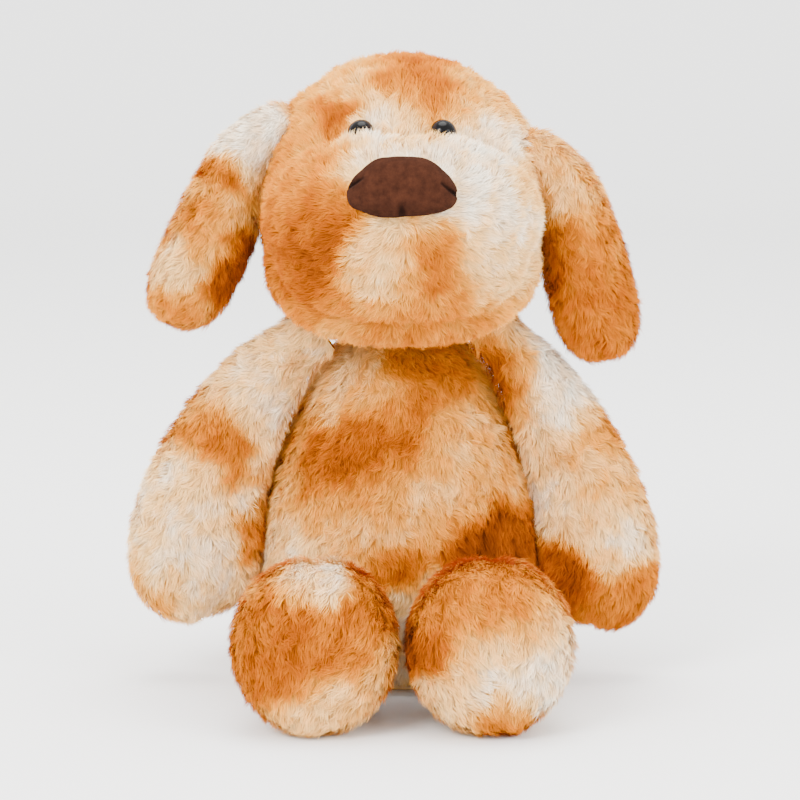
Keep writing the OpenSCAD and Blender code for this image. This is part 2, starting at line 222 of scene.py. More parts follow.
class Limb:
    """A limb along an arc with an oval section, as in the CAD source."""

    def __init__(self, start, outward, forward, slopes, length, across, deep, ends, twist=0.0, root=0.0, tuck_in=0.0):
        self.start = np.array(start, float)
        self.outward = np.array(outward, float)
        self.forward = unit(np.array(forward, float))
        self.slopes, self.length, self.across, self.deep = slopes, length, across, deep
        self.ends, self.twist = ends, twist
        # How far the fabric runs on past the CAD's rounded root, into the body it is sewn to
        self.root = root
        # How far the root is drawn sideways, against the outward direction, towards that body
        self.tuck_in = tuck_in
        # How much fuller the side is that faces the body
        self.swell = 1.0

    def line(self, p):
        """A point of the limb's middle line, at a share p of its length."""
        return self.place(np.array([p]), np.array([0.0]), 0.0, only_line=True)[0]

    def place(self, s, angle, inset, only_line=False):
        first, last = np.radians(self.slopes)
        tuck = inset / self.length
        p = tuck + (1 - 2 * tuck) * s
        c0, p0, c1, p1 = self.ends
        full = rounded(s, c0, p0) * rounded(1 - s, c1, p1)
        if self.root:
            p = s * (1 - tuck) - (1 - s) * self.root / self.length
            full = rounded(1 - (p - tuck) / (1 - 2 * tuck), c1, p1)
        if only_line:
            p, full = s, 0 * s
        slope = (first + (last - first) * p)[..., None]
        ahead = np.sin(slope) * self.outward + np.cos(slope) * self.forward
        out = np.cos(slope) * self.outward - np.sin(slope) * self.forward
        side = np.cross(ahead, out)
        twist = np.radians(self.twist * p)[..., None]
        n = np.cos(twist) * out + np.sin(twist) * side
        b = np.cos(twist) * side - np.sin(twist) * out
        radius = self.length / (last - first)
        line = self.start + radius * (
            (math.cos(first) - np.cos(slope)) * self.outward + (np.sin(slope) - math.sin(first)) * self.forward
        )
        if self.tuck_in:
            line = line - (self.tuck_in * np.maximum(0, 1 - p / 0.3) ** 2)[..., None] * self.outward
        a = np.radians(angle)
        wide = full * (through(self.across, p) - inset) * np.cos(a) * np.where(np.cos(a) < 0, self.swell, 1.0)
        deep = full * (through(self.deep, p) - inset) * np.sin(a)
        return line + wide[..., None] * n + deep[..., None] * b


def half(shares, full):
    return np.array(shares) * full / 2


def arm_limb(side):
    return Limb(
        [50 * side, -8, 164], [side, 0, 0], -UP, (50, -9) if side < 0 else (42, -5), 151,
        half([0.43, 0.58, 0.70, 0.82, 0.93, 1, 0.98, 0.90], 60 if side < 0 else 55),
        half([0.55, 0.70, 0.81, 0.88, 0.95, 1, 0.96, 0.86], 42), (0.10, 2, 0.20, 2.2), root=13.0,
    )


def ear_limb(side):
    left = side < 0
    return Limb(
        [(69 if left else 73) * side, -5, 230 + (49 if left else 37)], [side, 0, 0], -UP,
        (18, 28) if left else (16, 12), 114,
        half([0.60, 0.74, 0.88, 1, 1, 0.94], 33), half([0.56, 0.74, 0.88, 1, 0.97, 0.86], 50),
        (0.10, 2, 0.22, 2.5), (12 if left else 18) * side, tuck_in=20.0,
    )


def leg_limb(side):
    return Limb(
        [36 * side, -49, 34.5], UP, [0.05 * side, -1, 0], (6, 3), 92,
        half([0.52, 0.72, 0.84, 0.92, 0.99, 1], 81), half([0.58, 0.76, 0.87, 0.94, 1, 1], 74), (0.24, 2, 0.16, 3),
        root=10.0,
    )


def tail_limb():
    return Limb(
        [0, 62.5, 26], UP, [0, 1, 0], (8, 80), 46, half([0.8, 1, 1, 0.9], 19), half([0.8, 1, 1, 0.9], 19),
        (0.25, 2, 0.3, 2), root=6.0,
    )


def nose_limb():
    return Limb(
        [-23.5, -86, 245], [0, -1, 0], [1, 0, 0], (26, -26), 47 * 1.035,
        half([0.80, 0.95, 1, 0.95, 0.80], 15), half([0.80, 0.98, 1, 0.98, 0.80], 26), (0.3, 2.3, 0.3, 2.3),
    )


TORSO_LEVELS = np.array(
    [
        [0, 0.72, 0.74], [0.06, 0.86, 0.89], [0.16, 0.97, 0.98], [0.32, 1, 1], [0.48, 0.965, 0.955],
        [0.64, 0.85, 0.83], [0.78, 0.70, 0.69], [0.89, 0.56, 0.54], [0.96, 0.43, 0.42], [1, 0.32, 0.32],
    ]
)


def torso_place(t, angle, inset):
    level, wide, deep = (through(TORSO_LEVELS[:, i], t) for i in range(3))
    a = np.radians(angle)
    low, high = 3.4 + inset, 169 - inset
    # The pressed cover swells sideways until it meets the arms
    swell = 2.8 * smooth(level / 0.3) * smooth((5.0 - inset) / 3.0)
    return np.stack(
        [
            (wide * 67 - inset + swell) * np.cos(a),
            4 + 8 * level * level + (deep * 57.5 - inset) * np.sin(a),
            low + level * (high - low),
        ],
        -1,
    )


COLLAR = 0.1


def torso_cover_place(u, angle, inset):
    """The torso with a collar of fabric that goes on up into the head and hides the neck seam."""
    t = u * (1 + COLLAR)
    p = torso_place(np.minimum(t, 1), angle, inset)
    a = np.radians(angle)
    up = smooth((t - 0.93) / 0.07)
    least = 28.5 - inset - 3.0 * smooth((t - 1) / COLLAR)
    axis = np.stack([0 * a, 12 + 0 * a], -1)
    ring = axis + least[..., None] * np.stack([1.28 * np.cos(a), np.sin(a)], -1)
    p[..., :2] = p[..., :2] * (1 - up[..., None]) + ring * up[..., None]
    p[..., 2] += 14 * np.maximum(0, t - 1) / COLLAR
    return p


HEAD_O = np.array([0.0, -12.0, 230.0])
LOBES = [
    (np.array([0.0, 6, 235]), np.array([68.5, 58, 66])),
    (np.array([0.0, -34, 228]), np.array([64.0, 53, 41])),
    (np.array([0.0, -22, 200]), np.array([63.0, 46, 40])),
]


def head_place(off, turn, inset):
    """off: degrees from straight ahead. turn: degrees round from the top, towards +X."""
    o, r = np.radians(off), np.radians(turn)
    ray = np.stack([np.sin(o) * np.sin(r), -np.cos(o), np.sin(o) * np.cos(r)], -1)
    total = 0
    for centre, size in LOBES:
        u, v = ray / size, (HEAD_O - centre) / size
        a, b, c = (u * u).sum(-1), u @ v, v @ v - 1
        total = total + ((np.sqrt(b * b - a * c) - b) / a) ** 14
    p = HEAD_O + (total ** (1 / 14) - inset)[..., None] * ray
    neck = np.hypot(p[..., 0], p[..., 1] - 12) - 1.3 * inset
    rise = 9 * smooth((np.abs(p[..., 0]) - 27) / 14) * smooth((p[..., 1] + 42) / 16)
    floor = 181 - 12 * smooth((neck - 24) / 16) + rise + inset
    p[..., 2] = (p[..., 2] + floor + np.sqrt((p[..., 2] - floor) ** 2 + 16)) / 2
    return p


def muzzle_edge(turn):
    turn = np.radians(turn)
    return 42.1 - 2.9 * np.cos(turn) + 27 * np.sin(turn) ** 2


def chin_edge(turn):
    share = np.minimum(np.abs(np.mod(turn, 360) - 180) / 62, 1)
    return muzzle_edge(turn) + 43 * np.maximum(0, np.cos(np.radians(90 * share))) ** 0.8


# ---- Covers ----


def eased(u):
    """Rows are closer together towards the two ends."""
    return (1 - np.cos(np.pi * u)) / 2


class Cover:
    """The skin of one body, as a grid of points over u (0 to 1 along) and v (degrees round)."""

    def __init__(self, body, place, size, closed_ends, panels, panel_at, comb, start=0.0):
        self.body, self.place, self.closed_ends = body, place, closed_ends
        self.panels, self.panel_at, self.comb, self.start = panels, panel_at, comb, start
        self.limb, self.pull = None, 1.0
        cell = cover_mm("cell")
        self.rows = max(8, round(size[0] / cell))
        self.cols = max(12, round(size[1] / cell))
        u = np.linspace(0, 1, self.rows + 1)
        v = start + np.linspace(0, 360, self.cols + 1)
        self.u, self.v = np.meshgrid(u, v, indexing="ij")


def grid_normals(p, closed_ends):
    """Outward unit normals of a grid that closes round its columns."""
    round_ = np.concatenate([p[:, -2:-1], p, p[:, 1:2]], 1)
    across = round_[:, 2:] - round_[:, :-2]
    along = np.gradient(p, axis=0)
    n = unit(np.cross(across, along))
    if closed_ends[0]:
        n[0] = unit(n[1, :-1].mean(0))
    if closed_ends[1]:
        n[-1] = unit(n[-2, :-1].mean(0))
    return n


def nearest(points, targets):
    """Distance from each point to the nearest target."""
    flat = points.reshape(-1, 3)
    out = np.empty(len(flat))
    for i in range(0, len(flat), 4000):
        d = flat[i : i + 4000, None] - targets[None]
        out[i : i + 4000] = np.sqrt((d * d).sum(-1).min(1))
    return out.reshape(points.shape[:-1])


def grid_faces(rows, cols):
    i, j = np.meshgrid(np.arange(rows), np.arange(cols), indexing="ij")
    a = (i * (cols + 1) + j).ravel()
    return np.stack([a, a + 1, a + cols + 2, a + cols + 1], -1)


def grid_index(rows, cols, closed_ends):
    """The number of the point that each grid place shares, and how many points there are."""
    index = np.empty((rows + 1, cols + 1), int)
    count = 0
    for i in range(rows + 1):
        if (i == 0 and closed_ends[0]) or (i == rows and closed_ends[1]):
            index[i] = count
            count += 1
        else:
            index[i, :cols] = np.arange(count, count + cols)
            index[i, cols] = count
            count += cols
    return index, count


def puff(cover, points, pinned):
    """Cloth under the stuffing's pressure, held at the seams: the skin swells between them."""
    index, count = grid_index(cover.rows, cover.cols, cover.closed_ends)
    co = np.empty((count, 3))
    co[index.ravel()] = points.reshape(-1, 3)
    hold = np.zeros(count)
    hold[index.ravel()] = pinned.ravel()
    faces = [list(dict.fromkeys(f)) for f in index.ravel()[grid_faces(cover.rows, cover.cols)].tolist()]
    mesh = bpy.data.meshes.new("puff")
    mesh.from_pydata((co * MM * 10).tolist(), [], [f for f in faces if len(f) > 2])
    obj = bpy.data.objects.new("puff", mesh)
    bpy.context.scene.collection.objects.link(obj)
    group = obj.vertex_groups.new(name="seams")
    for k in np.nonzero(hold > 0.5)[0].tolist():
        group.add([k], 1.0, "ADD")
    cloth = obj.modifiers.new("cloth", "CLOTH")
    cloth.settings.quality = 5
    cloth.settings.mass = 0.3
    cloth.settings.tension_stiffness = 15
    cloth.settings.compression_stiffness = 15
    cloth.settings.bending_stiffness = 0.5
    cloth.settings.use_pressure = True
    cloth.settings.uniform_pressure_force = bpy.context.scene.plush_cover.pressure
    cloth.settings.vertex_group_mass = "seams"
    cloth.settings.effector_weights.gravity = 0
    cloth.point_cache.frame_start, cloth.point_cache.frame_end = 1, 20
    scene = bpy.context.scene
    for number in range(1, 21):
        scene.frame_set(number)
    moved = np.empty(count * 3)
    evaluated = obj.evaluated_get(bpy.context.evaluated_depsgraph_get())
    evaluated.data.vertices.foreach_get("co", moved)
    scene.frame_set(1)
    bpy.data.objects.remove(obj)
    bpy.data.meshes.remove(mesh)
    step = moved.reshape(-1, 3) / MM / 10 - co
    far = np.linalg.norm(step, axis=1, keepdims=True)
    step *= np.minimum(1, cover_mm("cap") / np.maximum(far, 1e-6))
    return (co + step)[index.ravel()].reshape(points.shape)


def muzzle_relief(cover):
    """Height of the muzzle's rolled edge over the crease behind it, in millimetres."""
    turn = np.mod(cover.v, 360)
    past = (180 * cover.u - muzzle_edge(turn)) * 1.2
    below = smooth((np.abs(turn - 180) - 75) / -25)
    roll = 1.9 * np.exp(-(((past + 7) / 5) ** 2))
    crease = (2.2 + 1.2 * below) * np.exp(-(((past - 3) / 4.5) ** 2))
    return roll - crease


def shape(cover, seam_points):
    """The skin's grid, drawn in at the seams and puffed out between them, and each point's seam distance."""
    points = cover.place(cover.u, cover.v, cover_mm("depth"))
    away = nearest(points, seam_points)
    n = grid_normals(points, cover.closed_ends)
    points = points - n * (cover_mm("pull") * cover.pull * np.exp(-((away / 4.5) ** 2)))[..., None]
    if cover.body == "head":
        points = points + n * muzzle_relief(cover)[..., None]
    pinned = away < 2.2
    for k, closed in ((0, cover.closed_ends[0]), (-1, cover.closed_ends[1])):
        if not closed:
            pinned[k] = True
    points = puff(cover, points, pinned)
    return points, away


# ---- Dye ----

# Soft patches of dye on the front: how far right and how far up of the camera's middle, radius, all in
# millimetres, then strength from 0 (undyed) to 1 (deepest rust)
DYE = {
    "head": [
        (9, 151, 14, 0.68), (-25, 149, 14, 0.36), (37, 146, 14, 0.34), (1, 135, 11, 0.26), (-31, 134, 9, 0.8),
        (-47, 76, 24, 0.72), (-37, 70, 12, 0.96), (-7, 122, 15, 0.08), (42, 102, 24, 0.02), (37, 75, 18, 0.16),
        (62, 106, 11, 0.42), (-8, 68, 16, 0.16), (17, 66, 14, 0.78), (9, 34, 22, 0.56), (-58, 108, 14, 0.5),
    ],
    "ear_left": [
        (-78, 133, 16, 0.0), (-86, 113, 8, 0.7), (-97, 89, 8, 0.68), (-109, 86, 18, 0.36), (-76, 62, 13, 0.9),
        (-110, 67, 10, 0.12), (-114, 43, 14, 0.52),
    ],
    "ear_right": [(82, 113, 20, 0.3), (90, 53, 28, 0.7), (95, 72, 8, 0.36), (108, 60, 10, 0.6)],
    "arm_left": [
        (-66, 17, 24, 0.16), (-85, -19, 14, 0.76), (-102, -65, 32, 0.12), (-121, -91, 12, 0.5),
        (-62, -12, 12, 0.1), (-71, -62, 10, 0.7),
    ],
    "arm_right": [
        (76, 12, 22, 0.0), (49, 10, 14, 0.8), (64, -43, 14, 0.08), (93, -34, 26, 0.3), (100, -14, 9, 0.66),
        (102, -65, 12, 0.06), (75, -86, 14, 0.86), (105, -96, 14, 0.64),
    ],
    "torso": [
        (-25, 7, 18, 0.24), (12, 11, 15, 0.66), (-18, -24, 21, 0.84), (-6, -53, 24, 0.32), (40, -24, 20, 0.36),
        (53, -19, 8, 0.7), (40, -71, 16, 0.97), (-1, -77, 12, 0.86), (-54, -77, 14, 0.15), (6, -91, 10, 0.05),
        # The weak patch low between the legs, at (6, -125), is painted light: it makes the fur lighter in the deep
        # hollow there, which lies in shade
        (6, -125, 18, 0.12),
    ],
    "leg_left": [
        (-39, -84, 13, 0.1), (-12, -96, 13, 0.66), (-51, -119, 24, 0.74), (-8, -134, 14, 0.36), (-39, -153, 20, 0.18),
    ],
    "leg_right": [
        (40, -98, 26, 0.6), (57, -129, 24, 0.03), (18, -149, 14, 0.2), (52, -155, 12, 0.7), (10, -119, 11, 0.9),
    ],
    "tail": [],
}


def in_view(p):
    """How far right and how far up of the camera's middle a point shows, in millimetres there."""
    tilt = math.radians(VIEW_TILT)
    y, z = p[..., 1] - VIEW_AIM[1], p[..., 2] - VIEW_AIM[2]
    depth = VIEW_DISTANCE + y * math.cos(tilt) - z * math.sin(tilt)
    up = z * math.cos(tilt) + y * math.sin(tilt)
    return p[..., 0] * VIEW_DISTANCE / depth, up * VIEW_DISTANCE / depth


def dye_at(body, p, n):
    """Strength of the dye at points p of the skin with normals n."""
    wobble = np.stack([waves(p, 13, 5), waves(p, 13, 6)], -1) * 5.0
    right, up = in_view(p)
    right, up = right + wobble[..., 0], up + wobble[..., 1]
    total, weight = 0.36 * 0.08, 0.08
    for x, y, r, strength in DYE[body]:
        w = np.exp(-(((right - x) ** 2 + (up - y) ** 2) / (r * r)) ** 1.3)
        total, weight = total + w * strength, weight + w
    front = total / weight
    blot = 0.4 + 0.42 * waves(p, 34, 11) + 0.14 * waves(p, 12, 12)
    hidden = smooth((n[..., 1] - 0.15) / 0.5)
    dye = front * (1 - hidden) + blot * hidden
    return np.clip(dye + 0.07 * waves(p, 7, 13) + 0.04 * waves(p, 2.5, 14), 0, 1)


# ---- Pile ----


def strands(cover, points, away, bare, seed):
    """Strands on the whole cover: a dict of arrays, one entry for each strand."""
    pile = bpy.context.scene.plush_pile
    rng = np.random.default_rng(seed)
    n = grid_normals(points, cover.closed_ends)
    comb = cover.comb(cover, points, n)
    comb = unit(comb - n * (comb * n).sum(-1, keepdims=True))
    a, b = points[:-1, :-1], points[:-1, 1:]
    c, d = points[1:, 1:], points[1:, :-1]
    area = (np.linalg.norm(np.cross(b - a, c - a), axis=-1) + np.linalg.norm(np.cross(c - a, d - a), axis=-1)) / 2
    count = rng.poisson(area * pile.density).ravel()
    cells = np.repeat(np.arange(area.size), count)
    i, j = cells // cover.cols, cells % cover.cols
    f, g = rng.random((2, len(cells)))[..., None]

    def mixed(grid):
        if grid.ndim == 2:
            grid = grid[..., None]
        near = grid[i, j] * (1 - g) + grid[i, j + 1] * g
        far = grid[i + 1, j] * (1 - g) + grid[i + 1, j + 1] * g
        return near * (1 - f) + far * f

    root, normal, along = mixed(points), unit(mixed(n)), unit(mixed(comb))
    u = (i + f[:, 0]) / cover.rows
    v = cover.start + (j + g[:, 0]) / cover.cols * 360
    gap = mixed(away)[:, 0]
    # Clumps: strands of one small cell of space lean the same way and meet near its middle
    grain = in_mm(pile.clump)
    spot = root + np.stack([waves(root, 9, 21), waves(root, 9, 22), waves(root, 9, 23)], -1) * grain * 0.45
    cell = np.floor(spot / grain).astype(int)
    _, clump = np.unique(cell @ np.array([1, 4001, 16008001]), return_inverse=True)
    clumps = clump.max() + 1
    swing = rng.normal(0, 0.42, clumps)[clump] + rng.normal(0, 0.28, len(root)) + 0.5 * waves(root, 26, 24)
    lift = rng.normal(0, 7, clumps)[clump] + rng.normal(0, 8, len(root))
    side = np.cross(normal, along)
    way = along * np.cos(swing)[:, None] + side * np.sin(swing)[:, None]
    size = in_mm(pile.length) * rng.normal(1, 0.13, len(root)) * rng.normal(1, 0.1, clumps)[clump]
    size *= 0.72 + 0.28 * smooth(gap / 6)
    factor = bare(root) if bare else np.ones(len(root))
    size *= factor
    fringe = smooth((factor - 1) / 0.3)
    first = np.radians(np.clip(in_degrees(pile.lean) + lift - 22 * fringe, 5, 75))[:, None]
    last = np.radians(np.clip(in_degrees(pile.droop) + lift - 22 * fringe, 20, 95))[:, None]
    middle_way = (first + last) / 2 * 0.5 + first * 0.5
    start = normal * np.cos(middle_way) + way * np.sin(middle_way)
    finish = normal * np.cos(last) + way * np.sin(last)
    mid = root + start * (size * 0.5)[:, None]
    tip = mid + finish * (size * 0.5)[:, None]
    total = np.bincount(clump, minlength=clumps)[:, None]
    centre = np.stack([np.bincount(clump, tip[:, k], clumps) for k in range(3)], -1) / total
    pull = (pile.gather * rng.uniform(0.55, 1.3, len(root)))[:, None]
    sideways = centre[clump] - tip
    sideways *= np.minimum(1, 4.5 / np.maximum(np.linalg.norm(sideways, axis=1, keepdims=True), 1e-6))
    tip = tip + sideways * pull
    mid = mid + sideways * pull * 0.3
    keep = (size > 1.5) & (root[:, 2] > 0.6)
    for p in (mid, tip):
        p[:, 2] = np.maximum(p[:, 2], 0.35 + 0.3 * rng.random(len(p)))
    flat = unit(np.cross(mid - root, normal))
    spin = rng.normal(0, 0.35, len(root))[:, None]
    flat = unit(flat * np.cos(spin) + normal * np.sin(spin))
    return {
        "root": root[keep], "mid": mid[keep], "tip": tip[keep], "flat": flat[keep], "normal": normal[keep],
        "u": u[keep], "v": v[keep], "wide": (in_mm(pile.width) * rng.uniform(0.7, 1.25, len(root)))[keep],
        "shade": (rng.normal(0, 1, len(root)) * 0.6 + rng.normal(0, 1, clumps)[clump] * 0.5)[keep],
    }


def add_values(mesh, name, values):
    """Gives every point of a mesh a value that its material reads by name."""
    mesh.attributes.new(name, "FLOAT", "POINT").data.foreach_set("value", values.astype(np.float32).ravel())


def panel_mesh(name, cover, points, n, which, hair, body):
    """One fabric panel with its pile: the skin's faces of that panel and the strands rooted in it."""
    rows, cols = cover.rows, cover.cols
    quads = grid_faces(rows, cols)
    middle_u = ((cover.u[:-1, :-1] + cover.u[1:, 1:]) / 2).ravel()
    middle_v = ((cover.v[:-1, :-1] + cover.v[1:, 1:]) / 2).ravel()
    quads = quads[cover.panel_at(middle_u, middle_v) == which]
    used, compact = np.unique(quads, return_inverse=True)
    quads = compact.reshape(-1, 4)
    skin = points.reshape(-1, 3)[used]
    skin_n = n.reshape(-1, 3)[used]
    skin_uv = np.stack([cover.v.ravel()[used], cover.u.ravel()[used]], -1)
    mine = cover.panel_at(hair["u"], hair["v"]) == which
    h = {k: a[mine] for k, a in hair.items()}
    count = len(h["root"])
    half_wide = h["flat"] * (h["wide"] / 2)[:, None]
    # A strand is a blade of one quad and one triangle, a little narrower at its middle
    blade = np.stack(
        [
            h["root"] - half_wide, h["root"] + half_wide, h["mid"] + half_wide * 0.8, h["mid"] - half_wide * 0.8,
            h["tip"],
        ],
        1,
    )
    verts = np.concatenate([skin, blade.reshape(-1, 3)])
    base = len(skin) + 5 * np.arange(count)[:, None]
    blades = base + np.array([0, 1, 2, 3])
    tips = base + np.array([3, 2, 4])
    loops = np.concatenate([quads.ravel(), blades.ravel(), tips.ravel()])
    sizes = np.concatenate([np.full(len(quads), 4), np.full(count, 4), np.full(count, 3)])
    mesh = bpy.data.meshes.new(name)
    mesh.vertices.add(len(verts))
    mesh.vertices.foreach_set("co", ((verts + ORIGIN) * MM).astype(np.float32).ravel())
    mesh.loops.add(len(loops))
    mesh.loops.foreach_set("vertex_index", loops.astype(np.int32))
    mesh.polygons.add(len(sizes))
    mesh.polygons.foreach_set("loop_start", (np.cumsum(sizes) - sizes).astype(np.int32))
    mesh.polygons.foreach_set("use_smooth", np.ones(len(sizes), bool))
    # Where each point lies on the panel's own map: a strand takes a small patch at its root
    low, high = skin_uv.min(0), skin_uv.max(0)
    place = 0.02 + 0.96 * (skin_uv - low) / (high - low)
    spot = 0.02 + 0.96 * (np.stack([h["v"], h["u"]], -1) - low) / (high - low)
    spot = np.clip(spot, 0.02, 0.975)
    foot = np.array([[0, 0], [1, 0], [1, 1], [0, 1], [0.5, 2]]) * 0.002
    all_uv = np.concatenate([place, (spot[:, None] + foot).reshape(-1, 2)])
    layer = mesh.uv_layers.new(name="OFBake")
    layer.uv.foreach_set("vector", all_uv[loops].astype(np.float32).ravel())
    # What the dye and the painted shade read: dye strength, way along the strand, which the material turns into
    # painted shade at the roots and on the skin, and a shade of its own, at random
    dye = np.concatenate([dye_at(body, skin, skin_n), np.repeat(dye_at(body, h["root"], h["normal"]), 5)])
    # The skin lies deepest in the pile, so its low way darkens it most, as painted shade
    way = np.concatenate([np.full(len(skin), 0.15), np.tile([0.1, 0.1, 0.6, 0.6, 1.0], count)])
    shade = np.concatenate([np.zeros(len(skin)), np.repeat(h["shade"], 5)])
    add_values(mesh, "dye", dye)
    add_values(mesh, "way", way)
    add_values(mesh, "shade", shade)
    mesh.update()
    # The pile is shaded mostly as the skin under it, so that it reads as one soft surface
    blade_n = unit(np.cross(h["flat"], h["tip"] - h["root"]))
    blade_n *= np.sign((blade_n * h["normal"]).sum(-1, keepdims=True) + 1e-9)
    soft_n = unit(h["normal"] * 0.6 + blade_n * 0.4)
    all_n = np.concatenate([skin_n, np.repeat(soft_n, 5, axis=0)])
    mesh.normals_split_custom_set_from_vertices(all_n.astype(np.float32))
    obj = bpy.data.objects.new(name, mesh)
    bpy.context.scene.collection.objects.link(obj)
    return obj


def furred(cover, seams, bare=None, seed=1, sewn_to=None, bend=(0.0, 0.2)):
    """Builds every panel of a cover. The panels are handed to the frame under the cover's own body, unless the cover
    is sewn_to another body: then they keep their place in the world. The two points that bend gives along the limb are
    not used."""
    points, away = shape(cover, seams)
    n = grid_normals(points, cover.closed_ends)
    hair = strands(cover, points, away, bare, seed)
    for which, node in enumerate(cover.panels):
        obj = panel_mesh("fur_" + node, cover, points, n, which, hair, cover.body)
        obj.data.materials.append(tie_dye_fur())
        if sewn_to:
            start, end = ((cover.limb.line(p) + ORIGIN) * MM for p in bend)
            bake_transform(obj)
        else:
            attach(obj, cover.body)
        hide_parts(node)


def plain_mesh(name, co, faces, material, body, node, slot, smooth_shaded=True):
    """An object from points in toy millimetres, handed to the frame in place of a CAD node."""
    mesh = bpy.data.meshes.new(name)
    mesh.from_pydata(((co + ORIGIN) * MM).tolist(), [], faces)
    mesh.polygons.foreach_set("use_smooth", [smooth_shaded] * len(mesh.polygons))
    mesh.materials.append(material)
    if slot == "tie_dye_fur":
        add_values(mesh, "dye", 0.4 + 0.3 * waves(co, 20, 51))
        # These small fabric pieces take a middle way, so the fur material darkens them a little, as painted shade of
        # the pile
        add_values(mesh, "way", np.full(len(co), 0.3))
        add_values(mesh, "shade", waves(co, 3, 52))
    mesh.update()
    obj = bpy.data.objects.new(name, mesh)
    bpy.context.scene.collection.objects.link(obj)
    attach(obj, body)
    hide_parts(node)
    return obj


def grid_object(name, points, closed_ends, material, body, node, slot):
    rows, cols = points.shape[0] - 1, points.shape[1] - 1
    index, count = grid_index(rows, cols, closed_ends)
    co = np.empty((count, 3))
    co[index.ravel()] = points.reshape(-1, 3)
    faces = [list(dict.fromkeys(f)) for f in index.ravel()[grid_faces(rows, cols)].tolist()]
    faces = [f for f in faces if len(f) > 2]
    for closed, ring in zip(closed_ends, (index[0, :cols][::-1], index[-1, :cols])):
        if not closed:
            faces.append(ring.tolist())
    return plain_mesh(name, co, faces, material, body, node, slot)


def stuffed(cover, node, extra=0.0):
    """The fibre stuffing inside a cover: the same shape further in, with soft lumps."""
    depth = cover_mm("stuffing") + extra
    closed_ends = cover.closed_ends
    if cover.limb:
        root, cover.limb.root = cover.limb.root, 0.0
        points = cover.place(cover.u, cover.v, depth)
        cover.limb.root, closed_ends = root, (True, True)
    else:
        place = torso_place if cover.body == "torso" else cover.place
        points = place(cover.u, cover.v, depth)
    n = grid_normals(points, closed_ends)
    lumps = 0.9 * waves(points, 16, 31) + 0.45 * waves(points, 6, 32)
    lumps[:, -1] = lumps[:, 0]
    points = points + n * lumps[..., None]
    obj = grid_object(
        "fill_" + node, points, closed_ends, polyester_fibrefill(), cover.body, node, "fibrefill"
    )


# ---- Materials ----


def new_material(name):
    """A material with an empty node tree but for its Principled shader and output, or the one made before."""
    material = bpy.data.materials.get(name)
    if material:
        return material, None
    material = bpy.data.materials.new(name)
    material.use_nodes = True
    tree = material.node_tree
    tree.nodes.clear()
    shader = tree.nodes.new("ShaderNodeBsdfPrincipled")
    output = tree.nodes.new("ShaderNodeOutputMaterial")
    tree.links.new(shader.outputs["BSDF"], output.inputs["Surface"])
    return material, tree


def node(tree, kind, values=None, links=None):
    """Adds one node, sets its sockets or properties, and links sockets into it."""
    made = tree.nodes.new(kind)
    for key, value in (values or {}).items():
        if isinstance(key, int) or key in made.inputs:
            made.inputs[key].default_value = value
        else:
            setattr(made, key, value)
    for key, source in (links or {}).items():
        tree.links.new(source, made.inputs[key])
    return made


def shader_of(tree, values):
    """The material's Principled shader, with constants set on its own sockets."""
    shader = tree.nodes["Principled BSDF"]
    for key, value in values.items():
        shader.inputs[key].default_value = value
    return shader


def ramp_of(tree, source, stops):
    """A colour ramp through (position, colour) stops, driven by a socket."""
    ramp = node(tree, "ShaderNodeValToRGB", links={0: source})
    elements = ramp.color_ramp.elements
    while len(elements) < len(stops):
        elements.new(0.5)
    for element, (at, colour) in zip(elements, stops):
        element.position, element.color = at, colour
    return ramp.outputs["Color"]


def tie_dye_fur():
    """Long-pile polyester faux fur, knitted and tie-dyed from undyed white through orange to rust."""
    material, tree = new_material("tie_dye_faux_fur")
    if tree is None:
        return material
    colours = bpy.context.scene.plush_colours
    # Fine matt fibres give soft shading with no highlight of their own, and a faint pale rim
    shader = shader_of(
        tree,
        {
            "Roughness": 0.86,
            "Specular IOR Level": 0.0,
            "Sheen Weight": 0.02,
            "Sheen Roughness": 0.5,
            "Sheen Tint": linear("#fff3e4"),
        },
    )
    dye, way, shade = (
        node(tree, "ShaderNodeAttribute", {"attribute_name": name}).outputs["Fac"] for name in ("dye", "way", "shade")
    )
    dyed = ramp_of(
        tree,
        dye,
        [
            (0.0, colours.undyed), (0.18, colours.beige), (0.38, colours.amber), (0.55, colours.orange),
            (0.72, colours.russet), (0.88, colours.rust), (1.0, colours.deepest),
        ],
    )
    # Painted shade and light: the colour is darker deeper in the pile, at the roots and on the skin, and a little
    # lighter at the tips; each strand also has a shade of its own, at random
    deep = node(tree, "ShaderNodeMapRange", {1: 0.0, 2: 1.0, 3: 0.7, 4: 1.06}, {0: way})
    own = node(tree, "ShaderNodeMapRange", {1: -2.0, 2: 2.0, 3: 0.74, 4: 1.2}, {0: shade})
    both = node(tree, "ShaderNodeMath", {"operation": "MULTIPLY"}, {0: deep.outputs[0], 1: own.outputs[0]})
    tint = node(tree, "ShaderNodeVectorMath", {"operation": "SCALE"}, {0: dyed, "Scale": both.outputs[0]})
    tree.links.new(tint.outputs[0], shader.inputs["Base Color"])
    return material


